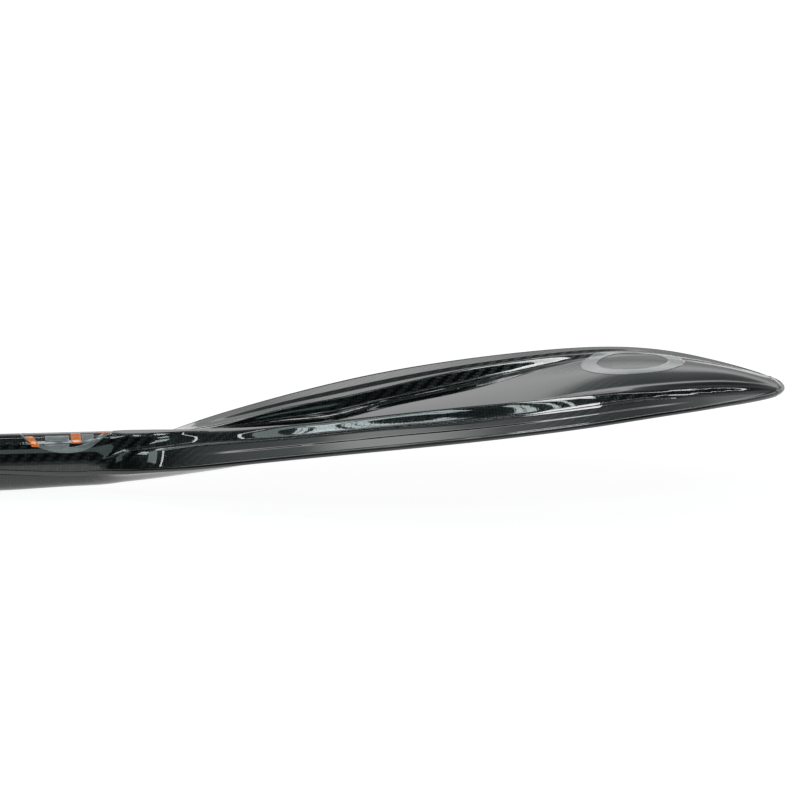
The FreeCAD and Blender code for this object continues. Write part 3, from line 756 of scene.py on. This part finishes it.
# the grip's ring: chamfered ends and one groove, 0.4 mm deep
collar_start, collar_end = span("grip_ring")
collar_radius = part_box("grip_ring")[1][2] / MM - AXIS_Z
groove_radius = collar_radius - 0.4
collar_profile = [(collar_start, SHAFT_RADIUS), (collar_start, collar_radius - 0.2),
                  (collar_start + 0.4, collar_radius), (collar_start + 3, collar_radius),
                  (collar_start + 3.4, groove_radius), (collar_start + 4, groove_radius),
                  (collar_start + 4.4, collar_radius), (collar_end - 1.4, collar_radius),
                  (collar_end - 0.4, collar_radius - 0.5), (collar_end, SHAFT_RADIUS + 0.3),
                  (collar_end, SHAFT_RADIUS)]
turned_piece("grip_trim_ring", collar_profile, trim_rubber, ["grip_ring"])


# ---------------------------------------- T-grip
shell_low, shell_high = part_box("grip_shell_back")
GRIP_HALF_WIDTH = shell_high[1] / MM
GRIP_DEPTH = 42
GRIP_TALL = 2 * (shell_high[2] / MM - AXIS_Z)
GRIP_X = shell_low[0] / MM + GRIP_DEPTH / 2
GRIP_ROUND = 14
# the bar is drawn from a sphere: shares of its height where the straight part ends and where the
# round corner ends, with the flat end beyond
BAR_SHARE, CORNER_SHARE = 0.6, 0.85
STEM_END = shell_high[0] / MM
STEM_ROOT, STEM_TIP = 18, 16
# the size of the skin's net, how often it is smoothed, and half the gap at the parting line
GRIP_NET, GRIP_SMOOTHING, PARTING_GAP = 1.4, 14, 0.12


def grip_form():
    """The whole T-grip as one closed form: an oval bar with round ends, blended into its stem."""
    mesh_data = bmesh.new()
    bmesh.ops.create_uvsphere(mesh_data, u_segments=64, v_segments=48, radius=1)
    flat = GRIP_HALF_WIDTH - GRIP_ROUND
    for vertex in mesh_data.verts:
        along, deep, tall = vertex.co.z, vertex.co.x, vertex.co.y
        reach = math.asin(max(-1.0, min(1.0, along))) / (math.pi / 2)
        if abs(reach) < BAR_SHARE:
            place, share = flat * reach / BAR_SHARE, 1.0
        else:
            part = min((abs(reach) - BAR_SHARE) / (CORNER_SHARE - BAR_SHARE), 1.0)
            corner = part * math.pi / 2
            place = math.copysign(flat + GRIP_ROUND * math.sin(corner), reach)
            share = 1 - GRIP_ROUND * (1 - math.cos(corner)) / (GRIP_TALL / 2)
            if abs(reach) > CORNER_SHARE:
                share *= max((1 - abs(reach)) / (1 - CORNER_SHARE), 0.0)
        size = max(math.hypot(deep, tall), 1e-6)
        vertex.co = Vector((GRIP_X + deep / size * share * GRIP_DEPTH / 2, place,
                            AXIS_Z + tall / size * share * GRIP_TALL / 2)) * MM
    form = bpy.data.meshes.new("grip_bar")
    mesh_data.to_mesh(form)
    mesh_data.free()
    bar = bpy.data.objects.new("grip_bar", form)
    stem_data = bmesh.new()
    bmesh.ops.create_cone(stem_data, cap_ends=True, segments=64, radius1=STEM_ROOT * MM,
                          radius2=STEM_TIP * MM, depth=(STEM_END - GRIP_X) * MM)
    bmesh.ops.rotate(stem_data, verts=stem_data.verts, cent=(0, 0, 0),
                     matrix=Matrix.Rotation(math.pi / 2, 3, "Y"))
    bmesh.ops.translate(stem_data, verts=stem_data.verts,
                        vec=((STEM_END + GRIP_X) / 2 * MM, 0, AXIS_Z * MM))
    stem_mesh = bpy.data.meshes.new("grip_stem")
    stem_data.to_mesh(stem_mesh)
    stem_data.free()
    stem = bpy.data.objects.new("grip_stem", stem_mesh)
    for item in (bar, stem):
        bpy.context.scene.collection.objects.link(item)
    joined = bar.modifiers.new("with_stem", "BOOLEAN")
    joined.operation = "UNION"
    joined.solver = "EXACT"
    joined.object = stem
    voxels = bar.modifiers.new("even_skin", "REMESH")
    voxels.mode = "VOXEL"
    voxels.voxel_size = GRIP_NET * MM
    soften = bar.modifiers.new("blend", "SMOOTH")
    soften.factor = 0.5
    soften.iterations = GRIP_SMOOTHING
    bpy.context.view_layer.update()
    graph = bpy.context.evaluated_depsgraph_get()
    result = bpy.data.meshes.new_from_object(bar.evaluated_get(graph))
    for item in (bar, stem):
        bpy.data.objects.remove(item)
    return result


def trim_off(mesh_data, place, way):
    """Cut away what lies beyond a plane, and close the cut."""
    parts = mesh_data.verts[:] + mesh_data.edges[:] + mesh_data.faces[:]
    cut = bmesh.ops.bisect_plane(mesh_data, geom=parts, plane_co=place, plane_no=way,
                                 clear_outer=True, dist=MERGE / 10)
    rim = [item for item in cut["geom_cut"] if isinstance(item, bmesh.types.BMEdge)]
    if rim:
        bmesh.ops.holes_fill(mesh_data, edges=rim)


def grip_half(name, way, stands_for, form):
    """One moulded half of the grip (way 1 up, -1 down), cut at the parting line with a fine gap."""
    mesh_data = bmesh.new()
    mesh_data.from_mesh(form)
    trim_off(mesh_data, (0, 0, (AXIS_Z + PARTING_GAP * way) * MM), (0, 0, -way))
    # the stem's end is trimmed square where it meets the ring
    trim_off(mesh_data, ((STEM_END - 0.2) * MM, 0, 0), (1, 0, 0))
    bmesh.ops.recalc_face_normals(mesh_data, faces=mesh_data.faces)
    cloth_places = {}
    for vertex in mesh_data.verts:
        over = math.copysign(abs(vertex.co.z / MM - AXIS_Z), way)
        cloth_places[vertex] = (vertex.co.x / MM + over * 0.3, vertex.co.y / MM + over * 0.3)
    lay_cloth(mesh_data, cloth_places)
    piece = finish_piece(mesh_data, name, carbon_shaft, stands_for)
    piece.data.set_sharp_from_angle(angle=math.radians(50))


whole_grip = grip_form()
grip_half("grip_back_half", 1, ["grip_shell_back"], whole_grip)
grip_half("grip_power_half", -1, ["grip_shell_power"], whole_grip)
bpy.data.meshes.remove(whole_grip)


# ---------------------------------------- prints
# the label's middle station, and half its length along the neck and half its reach round it
LABEL_AT = -17.7
LABEL_LONG, LABEL_ROUND = 31.0, 19.5
# heights above the skin of the film, of what is printed on it and of what laps over that
FILM_LIFT, PRINT_LIFT, TAG_LIFT = 0.04, 0.12, 0.2
PRINT_THICKNESS = 0.06
MARK_BAND = 11


def neck_place(station, around, lift):
    """A place on the neck: millimetres round it from its top, and above the skin."""
    seam = math.asin((edge(station) + EDGE_THICKNESS / 2) / NECK_RADIUS)
    share = min(abs(around) / NECK_RADIUS / (math.pi / 2 - seam), 1.0)
    column = between(share, NECK_SHARES, COLUMN_STOPS)
    _, out, up = skin_point(station, math.copysign(column, around), "back")
    reach = math.hypot(out, up)
    return to_frame(station, out * (1 + lift / reach), up * (1 + lift / reach))


def film_piece(flat, name, material, lift, stands_for=()):
    """Lay flat work, in millimetres about the label's middle, on the neck as a thin film."""
    for vertex in flat.verts:
        vertex.co = neck_place(LABEL_AT + vertex.co.x, vertex.co.y, lift)
    printed_piece(flat, name, material, stands_for)


def printed_piece(mesh_data, name, material, stands_for):
    """A thin closed film from a laid surface."""
    bmesh.ops.recalc_face_normals(mesh_data, faces=mesh_data.faces)
    if sum(face.normal.z for face in mesh_data.faces) < 0:
        bmesh.ops.reverse_faces(mesh_data, faces=mesh_data.faces)
    piece = finish_piece(mesh_data, name, material, stands_for)
    wall = piece.modifiers.new("film", "SOLIDIFY")
    wall.thickness = PRINT_THICKNESS * MM
    wall.offset = 1


def oval(outer, inner, shift=0.0, segments=96):
    """A flat oval ring or disc in millimetres. shift moves its inner edge along the paddle."""
    mesh_data = bmesh.new()
    bands = max(3, int(outer[0] - inner[0]))
    bmesh.ops.create_grid(mesh_data, x_segments=segments, y_segments=bands, size=1)
    for vertex in mesh_data.verts:
        turn = (vertex.co.x + 1) * math.pi
        part = (vertex.co.y + 1) / 2
        along = inner[0] + (outer[0] - inner[0]) * part
        around = inner[1] + (outer[1] - inner[1]) * part
        vertex.co = (shift * (1 - part) + along * math.cos(turn), around * math.sin(turn), 0)
    bmesh.ops.remove_doubles(mesh_data, verts=mesh_data.verts, dist=0.001)
    return mesh_data


def block(start, end, low, high, lean=0.0):
    """A flat block in millimetres, slanted by lean, fine enough to bend round the neck."""
    mesh_data = bmesh.new()
    bmesh.ops.create_grid(mesh_data, x_segments=max(2, int(end - start)),
                          y_segments=max(2, int(high - low)), size=1)
    for vertex in mesh_data.verts:
        around = low + (high - low) * (vertex.co.y + 1) / 2
        along = start + (end - start) * (vertex.co.x + 1) / 2
        vertex.co = (along + (around - low) * lean, around, 0)
    return mesh_data


film_piece(oval((LABEL_LONG, LABEL_ROUND), (0, 0)), "label_film", label_film, FILM_LIFT,
           ["neck_label"])
film_piece(oval((30.6, 19.1), (26.6, 15.4), -2.8), "label_oval_band", label_silver, PRINT_LIFT)
# blocks of the label's graphic: (start, end, low, high) and any lean, in millimetres
BLOCKS = (
    ("label_stripe_upper", label_silver, PRINT_LIFT, (-14.5, 1.2, -10.6, -4.4)),
    ("label_stripe_lower", label_silver, PRINT_LIFT, (-15.5, 1.2, -15.2, -12.4)),
    ("label_block_end", label_silver, PRINT_LIFT, (9.6, 17.5, -12.8, -3.2)),
    ("label_block_middle", orange_ink_painted_glow, PRINT_LIFT, (2.6, 9.0, -12.4, -1.0)),
    ("label_tag_low", orange_ink_painted_glow, TAG_LIFT, (-23.6, -18.4, -14.4, -4.6, -0.45)),
    ("label_tag_high", orange_ink_painted_glow, TAG_LIFT, (21.0, 28.0, -2.0, 5.0)),
)
for name, ink, lift, sides in BLOCKS:
    film_piece(block(*sides), name, ink, lift)


def panel_ring():
    """A printed ring that lies on the blade's back face."""
    low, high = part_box("panel_mark")
    middle = (low + high) / 2 / MM
    outer = (high[0] - low[0]) / 2 / MM
    inner = outer - MARK_BAND
    mesh_data = oval((outer, outer), (inner, inner), segments=160)
    for vertex in mesh_data.verts:
        station, out = vertex.co.x + middle[0] - SHOULDER_X, vertex.co.y + middle[1]
        vertex.co = to_frame(station, out, back_height(station, abs(out)) + FILM_LIFT)
    printed_piece(mesh_data, "panel_ring", mark_print, ["panel_mark"])


panel_ring()


# ---------------------------------------- hidden pieces
HIDDEN_FINISHES = (
    (foam, ("throat_core", "shaft_lower_plug", "shaft_upper_plug", "grip_core")),
    (filled_epoxy, ("neck_filler", "grip_spigot")),
)
for finish, names in HIDDEN_FINISHES:
    for name in names:
        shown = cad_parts[name]
        shown.data.materials.clear()
        shown.data.materials.append(finish)


# ---------------------------------------- studio
def floor_and_sky():
    """A lit white table, and a room with a white backdrop and a dark ceiling and near wall."""
    mesh_data = bmesh.new()
    bmesh.ops.create_grid(mesh_data, x_segments=1, y_segments=1, size=40)
    bmesh.ops.translate(mesh_data, verts=mesh_data.verts, vec=(0, 0, cad_box[0][2]))
    mesh = bpy.data.meshes.new("studio_floor")
    mesh_data.to_mesh(mesh)
    mesh_data.free()
    floor = bpy.data.objects.new("studio_floor", mesh)
    bpy.context.scene.collection.objects.link(floor)
    # a frosted white table lit from below: it shows almost no shadow and lights the underside
    material, _, shader = new_material("lit_white_table")
    shader.inputs["Base Color"].default_value = colour("#a0a0a0")
    shader.inputs["Roughness"].default_value = 0.8
    shader.inputs["Specular IOR Level"].default_value = 0.1
    shader.inputs["Emission Color"].default_value = colour("#ffffff")
    shader.inputs["Emission Strength"].default_value = 0.93
    mesh.materials.append(material)

    world = bpy.data.worlds.new("studio_room")
    bpy.context.scene.world = world
    world.use_nodes = True
    tree = world.node_tree
    way = node(tree, "ShaderNodeTexCoord").outputs["Generated"]
    split = node(tree, "ShaderNodeSeparateXYZ", in0=way)
    rise = maths(tree, "MULTIPLY", maths(tree, "ARCSINE", split.outputs[2]), 2 / math.pi)
    nearness = node(tree, "ShaderNodeMapRange", value=split.outputs[1], from_min=0.3, from_max=-0.3)
    glow = node(tree, "ShaderNodeMix", {"data_type": "RGBA"}, in0=nearness.outputs[0],
                in6=ramp_node(tree, rise, *FAR_ROOM), in7=ramp_node(tree, rise, *NEAR_ROOM)).outputs[2]
    sky = tree.nodes["Background"]
    tree.links.new(glow, sky.inputs["Color"])
    sky.inputs["Strength"].default_value = 1.25


# the room from its floor line (0) to overhead (1). The far side has a backdrop that is brightest
# 16 degrees up, and the near side is a dim wall under a dark ceiling.
FAR_ROOM = ((0.0, "#a2a3a3"), (0.09, "#aaabab"), (0.14, "#dcdddd"), (0.176, "#ffffff"),
            (0.212, "#f6f8f8"), (0.248, "#989c9c"), (0.32, "#808686"), (0.42, "#6a7070"),
            (0.5, "#3c4242"), (0.667, "#343c3b"), (0.8, "#161b1b"), (1.0, "#060808"))
NEAR_ROOM = ((0.0, "#a0a6a6"), (0.14, "#6a7070"), (0.2, "#1c2121"), (0.5, "#0a0d0d"),
             (1.0, "#060808"))


def soft_box(name, target, sight, width, length, radiance, tint="#ffffff", distance=2.0):
    """A soft light seen from a target along a line of sight, its width along the paddle."""
    light = bpy.data.lights.new(name, "AREA")
    light.shape = "RECTANGLE"
    light.size, light.size_y = width, length
    light.energy = radiance * math.pi * width * length
    light.color = colour(tint)[:3]
    lamp = bpy.data.objects.new(name, light)
    bpy.context.scene.collection.objects.link(lamp)
    across = (Vector((1, 0, 0)) - sight * sight.x).normalized()
    turned = Matrix((across, sight.cross(across), sight)).transposed()
    lamp.matrix_world = Matrix.Translation(target + sight * distance) @ turned.to_4x4()


def light_in(name, station, out, width, length, radiance, tint="#ffffff"):
    """A soft light that the camera sees mirrored at one place of the blade's back face."""
    here = to_frame(station, out, back_height(station, abs(out)))
    ahead = to_frame(station + 1, out, back_height(station + 1, abs(out)))
    beside = to_frame(station, out + 1, back_height(station, abs(out + 1)))
    normal = (ahead - here).cross(beside - here).normalized()
    soft_box(name, here, VIEW - 2 * VIEW.dot(normal) * normal, width, length, radiance, tint)


def upwards(degrees):
    """The direction at a height above the far horizon, straight across the paddle."""
    return Vector((0, math.cos(math.radians(degrees)), math.sin(math.radians(degrees))))


# the camera looks 16 degrees down and 5 degrees towards the blade's tip
TURN, LIFT = math.radians(5), math.radians(16)
VIEW = Vector((math.sin(TURN) * math.cos(LIFT), math.cos(TURN) * math.cos(LIFT), -math.sin(LIFT)))
# the camera's distance in metres, the width that its view covers and the point that it aims at,
# past the shoulder and above the shaft's axis
VIEW_DISTANCE, VIEW_WIDTH = 5.0, 1600 / 3 * MM
AIM_STATION, AIM_HEIGHT = 204.8, 36.4


def camera():
    """A long lens on the near side of the paddle."""
    lens_data = bpy.data.cameras.new("camera")
    lens_data.sensor_width = 36
    lens_data.lens = lens_data.sensor_width * VIEW_DISTANCE / VIEW_WIDTH
    lens_data.clip_end = 200
    eye = bpy.data.objects.new("camera", lens_data)
    bpy.context.scene.collection.objects.link(eye)
    eye.location = to_frame(AIM_STATION, 0, AIM_HEIGHT) - VIEW * VIEW_DISTANCE
    eye.rotation_euler = VIEW.to_track_quat("-Z", "Y").to_euler()
    bpy.context.scene.camera = eye


floor_and_sky()
# thin tubes, which the camera sees mirrored as bright bars in the near rib's outer facet
TUBES = ((142.4, -28.5), (152, -30.5), (171.4, -34), (180.7, -35.5), (285, -54), (294, -55),
         (308, -56), (318, -56.5))
for number, (station, out) in enumerate(TUBES):
    light_in(f"tube_{number}", station, out, 0.025, 0.5, 9, "#e8f6f6")
# small cards, mirrored on the near rib close to the tip and at the throat
light_in("tip_card", 408, -31, 0.16, 0.1, 9)
light_in("throat_card", 112, -23.5, 0.5, 0.35, 2.5, "#dff2f0")
# a long tube high behind the paddle draws a line of light along it, and the key hangs high on the
# camera's side
soft_box("long_tube", to_frame(120, 0, 30), upwards(52), 4.0, 0.05, 7)
soft_box("key", to_frame(-40, 0, 0), upwards(122), 1.6, 0.6, 1.3, "#d4efec")
# a card close over the far rib, which only the far rib's inner facet mirrors
soft_box("rib_card", to_frame(306, 44, 48), upwards(63), 0.08, 0.19, 9, distance=0.4)
bpy.data.objects["rib_card"].visible_diffuse = False
camera()
bpy.context.scene.view_settings.view_transform = "Standard"
